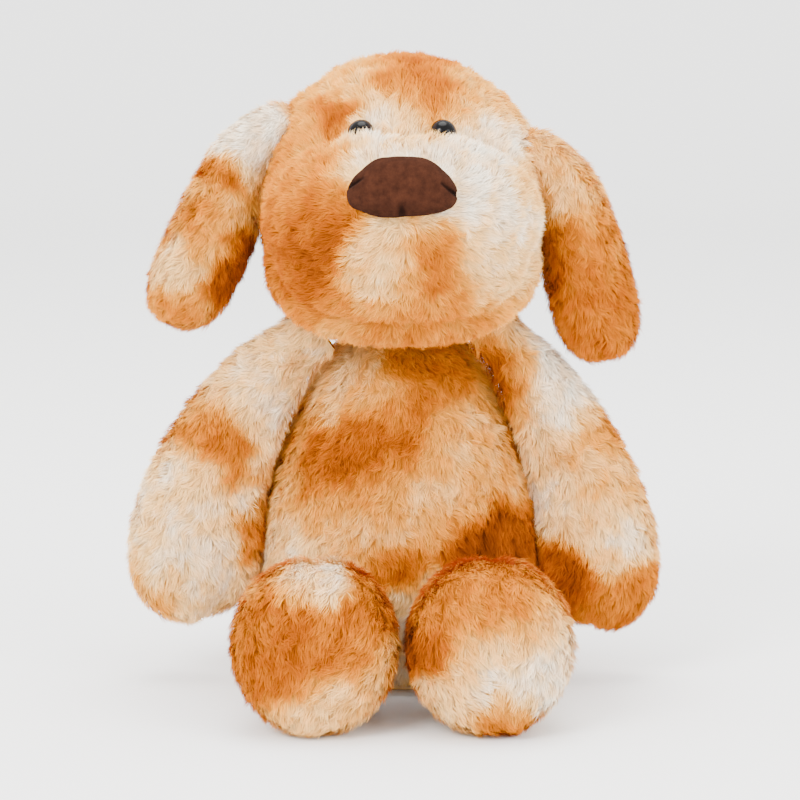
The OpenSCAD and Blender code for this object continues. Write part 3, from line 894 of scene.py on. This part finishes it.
def nose_suede():
    """Brown suede, brushed to a short nap."""
    material, tree = new_material("brown_suede")
    if tree is None:
        return material
    colours = bpy.context.scene.plush_colours
    # The brushed nap gives a matt, faintly mottled brown with hardly any highlight
    shader = shader_of(tree, {"Roughness": 0.95, "Specular IOR Level": 0.05})
    where = node(tree, "ShaderNodeTexCoord").outputs["Object"]
    # Mottles of about 4 mm where the nap lies in different ways
    mottle = node(
        tree, "ShaderNodeTexNoise", {"Scale": 1 / (4 * MM), "Detail": 6.0, "Roughness": 0.65}, {"Vector": where}
    )
    # The nap's tufts are about 0.1 mm, too fine to show, so they are drawn at 0.6 mm
    nap = node(tree, "ShaderNodeTexNoise", {"Scale": 1 / (0.6 * MM), "Detail": 3.0}, {"Vector": where})
    brown = ramp_of(tree, mottle.outputs["Fac"], [(0.3, colours.suede_dark), (0.72, colours.suede_light)])
    # Painted shade: the brown is darker inside the darts and towards the lower edge of the nose
    crease = node(tree, "ShaderNodeAttribute", {"attribute_name": "crease"}).outputs["Fac"]
    painted_nose_shade = node(tree, "ShaderNodeMapRange", {1: 0.15, 2: 0.9, 3: 1.0, 4: 0.25}, {0: crease})
    tint = node(tree, "ShaderNodeVectorMath", {"operation": "SCALE"}, {0: brown, "Scale": painted_nose_shade.outputs[0]})
    tree.links.new(tint.outputs[0], shader.inputs["Base Color"])
    bump = node(tree, "ShaderNodeBump", {"Strength": 0.5, "Distance": 0.4 * MM}, {"Height": nap.outputs["Fac"]})
    tree.links.new(bump.outputs["Normal"], shader.inputs["Normal"])
    return material


def eye_plastic():
    """Acrylic of a safety eye, moulded with a polished dome."""
    material, tree = new_material("glossy_eye_acrylic")
    if tree is None:
        return material
    colours = bpy.context.scene.plush_colours
    # The polished dome gives a small sharp highlight over a black pupil in a dark brown ring
    shader = shader_of(tree, {"Roughness": 0.14, "Specular IOR Level": 0.14})
    ring = node(tree, "ShaderNodeAttribute", {"attribute_name": "ring"}).outputs["Fac"]
    brown = ramp_of(tree, ring, [(0.68, colours.pupil), (0.74, colours.iris)])
    tree.links.new(brown, shader.inputs["Base Color"])
    return material


def washer_plastic():
    """White polypropylene, moulded."""
    material, tree = new_material("washer_polypropylene")
    if tree is None:
        return material
    # Moulded and unpolished, so its highlights are broad and dull
    shader_of(tree, {"Base Color": bpy.context.scene.plush_colours.washer, "Roughness": 0.42})
    return material


def polyester_fibrefill():
    """White polyester fibre, crimped and loosely packed."""
    material, tree = new_material("polyester_fibrefill")
    if tree is None:
        return material
    colours = bpy.context.scene.plush_colours
    # Loose fibres give a soft matt white; the hollows between the wisps are greyer, as painted shade
    shader = shader_of(tree, {"Roughness": 0.95, "Specular IOR Level": 0.15, "Sheen Weight": 0.3})
    where = node(tree, "ShaderNodeTexCoord").outputs["Object"]
    # Wisps of about 3 mm: single fibres of 0.03 mm are too fine to show
    fibre = node(
        tree, "ShaderNodeTexNoise", {"Scale": 1 / (3 * MM), "Detail": 8.0, "Distortion": 2.5}, {"Vector": where}
    ).outputs["Fac"]
    # Painted shade: where the wisps' noise is low, as in the bump's hollows, the fibre is greyer
    white = ramp_of(tree, fibre, [(0.3, colours.fibre_in_shade), (0.7, colours.fibre_light)])
    tree.links.new(white, shader.inputs["Base Color"])
    bump = node(tree, "ShaderNodeBump", {"Strength": 0.6, "Distance": 1 * MM}, {"Height": fibre})
    tree.links.new(bump.outputs["Normal"], shader.inputs["Normal"])
    return material


def studio_paper():
    """Seamless white background paper, rolled."""
    material, tree = new_material("studio_paper")
    if tree is None:
        return material
    # Uncoated paper is matt, so it shows only soft shadows
    shader_of(
        tree, {"Base Color": bpy.context.scene.plush_colours.paper, "Roughness": 0.9, "Specular IOR Level": 0.1}
    )
    return material


# ---- The covers of each body ----


def line(cover_place, u, v):
    """Points of a seam on the CAD surface."""
    u, v = np.broadcast_arrays(np.asarray(u, float), np.asarray(v, float))
    return cover_place(u, v, cover_mm("depth"))


def comb_along(sign):
    """Pile that lies along the rows: 1 towards the far end, -1 towards the near end."""

    def field(cover, points, n):
        return unit(np.gradient(points, axis=0)) * sign

    return field


def torso_cover():
    def panel_at(u, v):
        v = np.mod(v, 360)
        return np.where((v >= 195) & (v < 345), 0, np.where((v >= 90) & (v < 195), 1, 2))

    cover = Cover(
        "torso", torso_cover_place, (205, 390), (False, False), ["belly_panel", "back_panel_left", "back_panel_right"],
        panel_at, comb_along(-1), 90.0,
    )
    cover.pull = 0.35
    t = np.linspace(0, 1, 80)
    seams = np.concatenate([line(torso_cover_place, t, a) for a in (90.0, 195.0, 345.0)])
    return cover, seams


def head_grid_place(u, v, inset):
    return head_place(180 * u, v, inset)


def head_cover():
    def panel_at(u, v):
        off, turn = 180 * u, np.mod(v, 360)
        up = np.abs(np.mod(turn + 180, 360) - 180)
        which = np.where(up < 34, 0, np.where(turn > 180, 1, 2))
        chin = (off < chin_edge(turn)) & (np.abs(turn - 180) < 62)
        return np.where(off < muzzle_edge(turn), 3, np.where(chin, 4, which))

    def comb(cover, points, n):
        away = unit(np.gradient(points, axis=0))
        # Behind the muzzle's seam the pile also falls towards the ground at the sides
        fall = smooth((180 * cover.u - 60) / 40)[..., None] * np.abs(np.sin(np.radians(cover.v)))[..., None]
        return unit(away * (1 - 0.75 * fall) - UP * 0.9 * fall)

    cover = Cover(
        "head", head_grid_place, (215, 400), (True, True),
        ["head_gusset", "head_side_left", "head_side_right", "muzzle_panel", "chin_panel"], panel_at, comb,
    )
    cover.pull = 0.25
    turn = np.arange(0, 360, 1.5)
    low = np.arange(118, 242, 1.5)
    off = np.linspace(0, 1, 60)
    depth = cover_mm("depth")
    seams = [head_place(muzzle_edge(turn), turn, depth), head_place(chin_edge(low), low, depth)]
    for edge in (34.0, -34.0, 180.0):
        first = float(chin_edge(np.array(edge)))
        seams.append(head_place(first + (176 - first) * off, np.full(60, edge), depth))
    return cover, np.concatenate(seams)


def limb_cover(body, limb, panels, panel_at, seam_angles, ring=None, comb=None):
    def place(u, v, inset):
        return limb.place(eased(u) if not limb.root else np.sin(np.pi / 2 * u), v, inset)

    size = (limb.length * 1.25, 2 * math.pi * math.sqrt((limb.across.max() ** 2 + limb.deep.max() ** 2) / 2))
    cover = Cover(body, place, size, (not limb.root, True), panels, panel_at, comb or comb_along(1), seam_angles[0])
    cover.limb, cover.pull = limb, 0.75
    u = np.linspace(0.0, 0.97 if ring is None else ring, 70)
    seams = [line(place, u, a) for a in seam_angles]
    if ring is not None:
        seams.append(line(place, ring, np.arange(0, 360, 3.0)))
    return cover, np.concatenate(seams)


def side_of(hand):
    return -1 if hand == "left" else 1


def ear_cover(hand):
    def panel_at(u, v):
        v = np.mod(v, 360)
        return np.where((v < 90) | (v >= 270), 0, 1)

    return limb_cover(
        "ear_" + hand, ear_limb(side_of(hand)), ["ear_outer_" + hand, "ear_inner_" + hand], panel_at, (90.0, 270.0)
    )


def arm_cover(hand):
    def panel_at(u, v):
        return np.where(np.abs(np.mod(v, 360) - 180) < 48, 1, 0)

    return limb_cover(
        "arm_" + hand, arm_limb(side_of(hand)), ["arm_outer_" + hand, "arm_inner_" + hand], panel_at, (132.0, 228.0)
    )


SOLE_AT = 0.9


def leg_cover(hand):
    side = side_of(hand)
    limb = leg_limb(side)
    share = (SOLE_AT + limb.root / limb.length) / (1 + limb.root / limb.length)
    ring = math.asin(share) / (math.pi / 2)

    def panel_at(u, v):
        first = np.mod(v, 360) < 180
        outer = first if side < 0 else ~first
        return np.where(u >= ring, 2, np.where(outer, 0, 1))

    def comb(cover, points, n):
        away = unit(np.gradient(points, axis=0))
        sole = smooth((cover.u - ring + 0.03) / 0.06)[..., None]
        fall = np.array([0.35 * side, 0.0, -1.0])
        return unit((0.45 * away + fall) * (1 - sole) + (fall + 0.6 * away) * sole)

    return limb_cover(
        "leg_" + hand, limb, ["leg_outer_" + hand, "leg_inner_" + hand, "sole_panel_" + hand], panel_at,
        (0.0, 180.0), ring, comb,
    )


def tail_cover():
    def panel_at(u, v):
        return np.where(np.mod(v, 360) >= 180, 0, 1)

    return limb_cover("tail", tail_limb(), ["tail_left", "tail_right"], panel_at, (0.0, 180.0))


# ---- Face pieces ----

EYE_GAP = 38.0
EYE_D = 12.0
EYE_FACING = unit(np.array([0.22, -0.78, 0.58]))


def eye_middle(side):
    place = head_place(np.array([49.0]), np.array([24.5]), 0.0)[0]
    facing = EYE_FACING * [side, 1, 1]
    return np.array([side * EYE_GAP / 2, place[1], place[2]]) + 1.9 * facing, facing


# The washer's section, as (radius, height from the eye's rim) in millimetres
WASHER_PROFILE = [
    (2.1, -11), (7.0, -11), (7.44, -10.7), (7.44, -9.7), (7.0, -9.4), (3.4, -9.4), (2.9, -9.0), (2.1, -9.0),
    (2.1, -11),
]


def eye_profile():
    """The eye's section, as (radius, height) rows: a dome cut from a ball, its rim and its post."""
    ball = EYE_D * 0.55
    low = -ball * 0.42
    edge = math.acos((0.0 - low) / ball)
    dome = [(ball * math.sin(edge * k), low + ball * math.cos(edge * k)) for k in np.linspace(0, 1, 22)]
    return dome + [(6.0, -0.1), (5.7, -0.5), (2.0, -0.5), (2.0, -12.6), (1.6, -13.0), (0.0, -13.0)]


NOSE_STEPS = 96
NOSE_MIDDLE = 245


def nose_skin():
    """The nose cover's points, how deep each lies in a dart, which together with nearness to the lower edge gives its
    painted shade, and its faces.
    """
    limb = nose_limb()
    u, v = np.meshgrid(np.linspace(0, 1, NOSE_STEPS + 1), np.linspace(-132, 132, NOSE_STEPS + 1), indexing="ij")
    outer = limb.place(eased(u), v, 0.0)
    # The cut of the pad: narrower above, drawn in below, and widest a little under its middle
    z = outer[..., 2] - NOSE_MIDDLE
    outer[..., 0] *= 1.05 - 0.1 * smooth((z - 3) / 9) - 0.12 * smooth((-z - 6) / 8)
    sag = 4.5 * (outer[..., 0] / 25) ** 2
    dip = 1.6 * smooth(1 - np.abs(outer[..., 0] + 3) / 16) * smooth(-z / 10)
    outer[..., 2] += 1.0 - sag - dip
    # Darts at both ends, the right one lower, and a soft furrow up from the middle of the lower edge
    x, z = outer[..., 0], outer[..., 2] - NOSE_MIDDLE
    front = smooth((np.cos(np.radians(v)) + 0.1) / 0.5)
    groove = np.zeros_like(x)
    for end, tip in (((-25.0, 0.0), (-18.0, 4.6)), ((25.0, -3.6), (18.0, 2.2))):
        a, d = np.array(end), np.array(tip) - np.array(end)
        t = np.clip(((x - a[0]) * d[0] + (z - a[1]) * d[1]) / (d @ d), 0, 1)
        far = np.hypot(x - a[0] - t * d[0], z - a[1] - t * d[1])
        groove += 1.7 * np.exp(-((far / 0.9) ** 2)) * (1 - 0.6 * t)
    groove += 0.8 * np.exp(-((x / 1.6) ** 2)) * smooth((-z - 3) / 9)
    n = unit(np.cross(np.gradient(outer, axis=1), np.gradient(outer, axis=0)))
    outer = outer - n * (groove * front)[..., None] + n * (0.12 * waves(outer, 3, 41))[..., None]
    # Painted shade: the nose is also darker towards its lower edge
    crease = groove * front + 0.42 * smooth((-z - 2) / 11)
    index = np.arange((NOSE_STEPS + 1) ** 2).reshape(NOSE_STEPS + 1, -1)
    index[0] = 0
    index[-1] = NOSE_STEPS * (NOSE_STEPS + 1)
    quads = index.ravel()[grid_faces(NOSE_STEPS, NOSE_STEPS)].tolist()
    faces = [list(dict.fromkeys(f)) for f in quads]
    return outer.reshape(-1, 3), crease, [f for f in faces if len(f) > 2]


def turned(profile, centre, facing, steps=64):
    """Points and faces of a shape turned round an axis: profile rows are (radius, height)."""
    x = unit(np.cross(facing, UP))
    y = np.cross(facing, x)
    a = np.linspace(0, 2 * math.pi, steps, endpoint=False)
    ring = np.cos(a)[:, None] * x + np.sin(a)[:, None] * y
    co, rows = [], []
    for radius, height in profile:
        rows.append(len(co))
        if radius < 1e-6:
            co.append(centre + height * facing)
        else:
            co.extend(centre + height * facing + radius * ring)
    faces = []
    for (r0, _), (r1, _), k0, k1 in zip(profile[:-1], profile[1:], rows[:-1], rows[1:]):
        for j in range(steps):
            m = (j + 1) % steps
            near = [k0 + (i if r0 > 1e-6 else 0) for i in (j, m)]
            far = [k1 + (i if r1 > 1e-6 else 0) for i in (j, m)]
            faces.append(list(dict.fromkeys([near[0], far[0], far[1], near[1]])))
    return np.array(co), faces


def head_bare(root):
    """Share of the full pile near the nose pad and the eyes."""
    nose = np.hypot(root[:, 0] / 24.5, (root[:, 2] - 244.5) / 13.2)
    share = np.where(root[:, 1] < -60, 0.25 + 0.75 * smooth((nose - 0.95) / 0.3), 1.0)
    share = np.where((nose < 0.9) & (root[:, 1] < -60), 0.0, share)
    for side in (-1, 1):
        centre, _ = eye_middle(side)
        far = np.linalg.norm(root - centre, axis=1)
        above = root[:, 2] > centre[2] - 3.5
        clear = np.where(above, 5.2, 3.4)
        near = np.where(far < clear, 0.0, 0.4 + 0.6 * smooth((far - clear) / 5))
        share = np.where(above | (far < clear), np.minimum(share, near), share)
        # The muzzle's fringe stands up in front of the lower half of the eye
        fringe = (~above) & (np.abs(root[:, 0] - centre[0]) < 9) & (root[:, 2] > centre[2] - 13) & (far >= clear)
        share = np.where(fringe, 1.15, share)
    return share


# ---- Operators ----


# The seat's half width and half depth, and its section as (share of that, height), from its middle below to
# its middle above, in millimetres
SEAT_HALF = (48.24, 42.55)
SEAT_ROWS = [(0.0, 0.9), (0.35, 0.7), (0.7, 0.5), (0.92, 0.3), (1.0, 0.9), (1.0, 2.2), (0.93, 3.0), (0.0, 3.0)]

# The neck seam's section, as (radius, height) in millimetres
NECK_ROWS = [
    (0.01, 169.6), (15.0, 169.6), (15.8, 170.6), (15.0, 171.6), (9.4, 172.2), (8.4, 174.0), (6.9, 177.0),
    (4.0, 179.4), (0.01, 180.4),
]

# The shoulder disc's section, as (radius, height)
DISC_PROFILE = [(0.0, 0.0), (4.0, 0.0), (4.5, 0.5), (4.5, 1.5), (4.0, 2.0), (1.2, 1.9), (0.0, 1.5)]

SENSOR_MM = 36.0
LENS_MM = 140.6


def fabric_ring(name, rings, body, node_name):
    """A small closed piece of the fur's fabric, from its rings of points."""
    points = np.stack(rings)
    points = np.concatenate([points, points[:, :1]], 1)
    obj = grid_object(name, points, (True, True), tie_dye_fur(), body, node_name, "tie_dye_fur")


class PLUSH_OT_torso(bpy.types.Operator):
    """Builds the torso's three furred panels, its seat, its stuffing and the neck seam"""

    bl_idname = "plush.torso"
    bl_label = "Torso"

    def execute(self, context):
        cover, seams = torso_cover()
        furred(cover, seams, seed=101)
        stuffed(cover, "torso_stuffing")
        a = np.radians(np.arange(0, 360, 3.0))
        rings = [
            np.stack([r * SEAT_HALF[0] * np.cos(a), 4 + r * SEAT_HALF[1] * np.sin(a), np.full(len(a), z)], -1)
            for r, z in SEAT_ROWS
        ]
        fabric_ring("fabric_seat_panel", rings, "torso", "seat_panel")
        # The gathered neck seam: pleats round a stuffed core
        rings = []
        for radius, z in NECK_ROWS:
            r = radius * (1 + (0.03 * np.cos(14 * a) if radius > 5 else 0))
            rings.append(np.stack([r * np.cos(a), 12 + r * np.sin(a), np.full(len(a), z)], -1))
        fabric_ring("gathered_neck_seam", rings, "neck", "neck_seam")
        return {"FINISHED"}


class PLUSH_OT_head(bpy.types.Operator):
    """Builds the head's five furred panels and its stuffing"""

    bl_idname = "plush.head"
    bl_label = "Head"

    def execute(self, context):
        cover, seams = head_cover()
        furred(cover, seams, bare=head_bare, seed=202)
        stuffed(cover, "head_stuffing", 1.0)
        return {"FINISHED"}


class PLUSH_OT_face(bpy.types.Operator):
    """Builds the suede nose with its darts and pad, and the safety eyes with their washers"""

    bl_idname = "plush.face"
    bl_label = "Face"

    def execute(self, context):
        outer, crease, faces = nose_skin()
        nose = plain_mesh("suede_nose_cover", outer, faces, nose_suede(), "head", "nose_cover", "nose_suede")
        # The nose's material darkens it by this value, as painted shade in the darts and towards the lower edge
        add_values(nose.data, "crease", crease)
        u, v = np.meshgrid(np.linspace(0, 1, 41), np.linspace(0, 360, 41), indexing="ij")
        inner = nose_limb().place(eased(u), v, 2.6)
        closed = (True, True)
        pad = grid_object(
            "fill_nose_padding", inner, closed, polyester_fibrefill(), "head", "nose_padding", "fibrefill"
        )
        for hand in ("left", "right"):
            centre, facing = eye_middle(side_of(hand))
            co, faces = turned(eye_profile(), centre, facing)
            eye = plain_mesh(
                "glossy_eye_" + hand, co, faces, eye_plastic(), "head", "eye_" + hand, "eye_plastic"
            )
            from_axis = np.linalg.norm(np.cross(co - centre, facing), axis=1) / 6.0
            add_values(eye.data, "ring", from_axis)
            co, faces = turned(WASHER_PROFILE[::-1], centre, facing)
            plain_mesh(
                "eye_washer_ring_" + hand, co, faces, washer_plastic(), "head", "eye_washer_" + hand,
                "washer_plastic", False,
            )
        return {"FINISHED"}


class PLUSH_OT_ears(bpy.types.Operator):
    """Builds both ears: an outer and an inner furred panel round a filling"""

    bl_idname = "plush.ears"
    bl_label = "Ears"

    def execute(self, context):
        for k, hand in enumerate(("left", "right")):
            cover, seams = ear_cover(hand)
            cover.limb.swell = 1.3
            furred(cover, seams, seed=301 + k, sewn_to="head", bend=(-0.06, 0.2))
            stuffed(cover, "ear_filling_" + hand, -1.0)
        return {"FINISHED"}


class PLUSH_OT_arms(bpy.types.Operator):
    """Builds both arms: furred panels, stuffing and the sewn disc at the shoulder"""

    bl_idname = "plush.arms"
    bl_label = "Arms"

    def execute(self, context):
        for k, hand in enumerate(("left", "right")):
            side = side_of(hand)
            cover, seams = arm_cover(hand)
            cover.limb.swell = 1.14
            furred(cover, seams, seed=401 + k, sewn_to="shoulder_" + hand, bend=(-0.05, 0.18))
            stuffed(cover, "arm_stuffing_" + hand)
            co, faces = turned(DISC_PROFILE[::-1], np.array([side * 35.6, -8.0, 161.0]), OUT_X * side, 48)
            disc = plain_mesh(
                "stitched_shoulder_seam_" + hand, co, faces, tie_dye_fur(), "shoulder_" + hand,
                "shoulder_seam_" + hand, "tie_dye_fur",
            )
        return {"FINISHED"}


class PLUSH_OT_legs(bpy.types.Operator):
    """Builds both legs: two furred halves, a round sole and the stuffing"""

    bl_idname = "plush.legs"
    bl_label = "Legs"

    def execute(self, context):
        for k, hand in enumerate(("left", "right")):
            cover, seams = leg_cover(hand)
            furred(cover, seams, seed=501 + k, sewn_to="torso", bend=(0.02, 0.42))
            stuffed(cover, "leg_stuffing_" + hand)
        return {"FINISHED"}


class PLUSH_OT_tail(bpy.types.Operator):
    """Builds the short tail: two furred halves and a filling"""

    bl_idname = "plush.tail"
    bl_label = "Tail"

    def execute(self, context):
        cover, seams = tail_cover()
        furred(cover, seams, seed=601, sewn_to="torso", bend=(0.0, 0.3))
        stuffed(cover, "tail_stuffing", -3.0)
        return {"FINISHED"}


class PLUSH_OT_studio(bpy.types.Operator):
    """Sets up the white floor, the soft lights and the camera"""

    bl_idname = "plush.studio"
    bl_label = "Studio"

    def execute(self, context):
        settings = context.scene.plush_studio
        mesh = bpy.data.meshes.new("floor")
        rows = [(-4.0, 0.0), (2.6, 0.0)]
        rows += [(2.6 + 0.8 * math.sin(a), 0.8 - 0.8 * math.cos(a)) for a in np.linspace(0.1, math.pi / 2, 12)]
        rows += [(3.4, 5.0)]
        co = [(x, y, z) for y, z in rows for x in (-6.0, 6.0)]
        faces = [(2 * i, 2 * i + 1, 2 * i + 3, 2 * i + 2) for i in range(len(rows) - 1)]
        mesh.from_pydata(co, [], faces)
        mesh.polygons.foreach_set("use_smooth", [True] * len(mesh.polygons))
        mesh.materials.append(studio_paper())
        floor = bpy.data.objects.new("studio_floor", mesh)
        context.scene.collection.objects.link(floor)
        lights = [
            ("key", (-1.1, -1.7, 1.5), 1.2, settings.key),
            ("fill", (1.6, -1.4, 0.9), 1.4, settings.key * 0.5),
            ("top", (0.0, 0.1, 2.2), 1.6, settings.key * 0.7),
        ]
        target = np.array([0.0, 0.0, 0.15])
        for name, place, size, power in lights:
            data = bpy.data.lights.new(name, "AREA")
            data.shape, data.size, data.energy = "DISK", size, power
            lamp = bpy.data.objects.new("light_" + name, data)
            lamp.location = place
            lamp.rotation_mode = "QUATERNION"
            lamp.rotation_quaternion = look(np.array(place), target)
            context.scene.collection.objects.link(lamp)
        world = bpy.data.worlds.new("studio")
        world.use_nodes = True
        world.node_tree.nodes["Background"].inputs["Color"].default_value = linear("#ffffff")
        world.node_tree.nodes["Background"].inputs["Strength"].default_value = 2.6
        context.scene.world = world
        tilt = settings.elevation
        data = bpy.data.cameras.new("camera")
        data.sensor_width, data.lens = SENSOR_MM, LENS_MM
        data.clip_start, data.clip_end = 0.05, 30.0
        camera = bpy.data.objects.new("camera", data)
        aim = (VIEW_AIM + ORIGIN) * MM
        camera.location = aim + settings.distance * np.array([0.0, -math.cos(tilt), math.sin(tilt)])
        camera.rotation_mode = "QUATERNION"
        camera.rotation_quaternion = look(np.array(camera.location), aim)
        context.scene.collection.objects.link(camera)
        context.scene.camera = camera
        return {"FINISHED"}


def look(place, target):
    return Vector(target - place).to_track_quat("-Z", "Y")


class PLUSH_PT_panel(bpy.types.Panel):
    """Sizes and colours of the toy and the studio, and a button for each group of pieces"""

    bl_label = "Plush Dog"
    bl_idname = "PLUSH_PT_panel"
    bl_space_type = "VIEW_3D"
    bl_region_type = "UI"
    bl_category = "Plush Dog"

    def draw(self, context):
        layout = self.layout
        scene = context.scene
        for settings in (scene.plush_pile, scene.plush_cover, scene.plush_colours, scene.plush_studio):
            for name in settings.__annotations__:
                layout.prop(settings, name)
        for operator in OPERATORS:
            layout.operator(operator.bl_idname)


OPERATORS = (
    PLUSH_OT_torso, PLUSH_OT_head, PLUSH_OT_face, PLUSH_OT_ears, PLUSH_OT_arms, PLUSH_OT_legs, PLUSH_OT_tail,
    PLUSH_OT_studio,
)
CLASSES = (
    PlushPileSettings, PlushCoverSettings, PlushColourSettings, PlushStudioSettings, *OPERATORS, PLUSH_PT_panel,
)


def register():
    for cls in CLASSES:
        bpy.utils.register_class(cls)
    bpy.types.Scene.plush_pile = bpy.props.PointerProperty(type=PlushPileSettings)
    bpy.types.Scene.plush_cover = bpy.props.PointerProperty(type=PlushCoverSettings)
    bpy.types.Scene.plush_colours = bpy.props.PointerProperty(type=PlushColourSettings)
    bpy.types.Scene.plush_studio = bpy.props.PointerProperty(type=PlushStudioSettings)


def unregister():
    del bpy.types.Scene.plush_studio, bpy.types.Scene.plush_colours
    del bpy.types.Scene.plush_cover, bpy.types.Scene.plush_pile
    for cls in reversed(CLASSES):
        bpy.utils.unregister_class(cls)


def main():
    register()
    bpy.ops.plush.torso()
    bpy.ops.plush.head()
    bpy.ops.plush.face()
    bpy.ops.plush.ears()
    bpy.ops.plush.arms()
    bpy.ops.plush.legs()
    bpy.ops.plush.tail()
    bpy.ops.plush.studio()


if __name__ == "__main__":
    main()
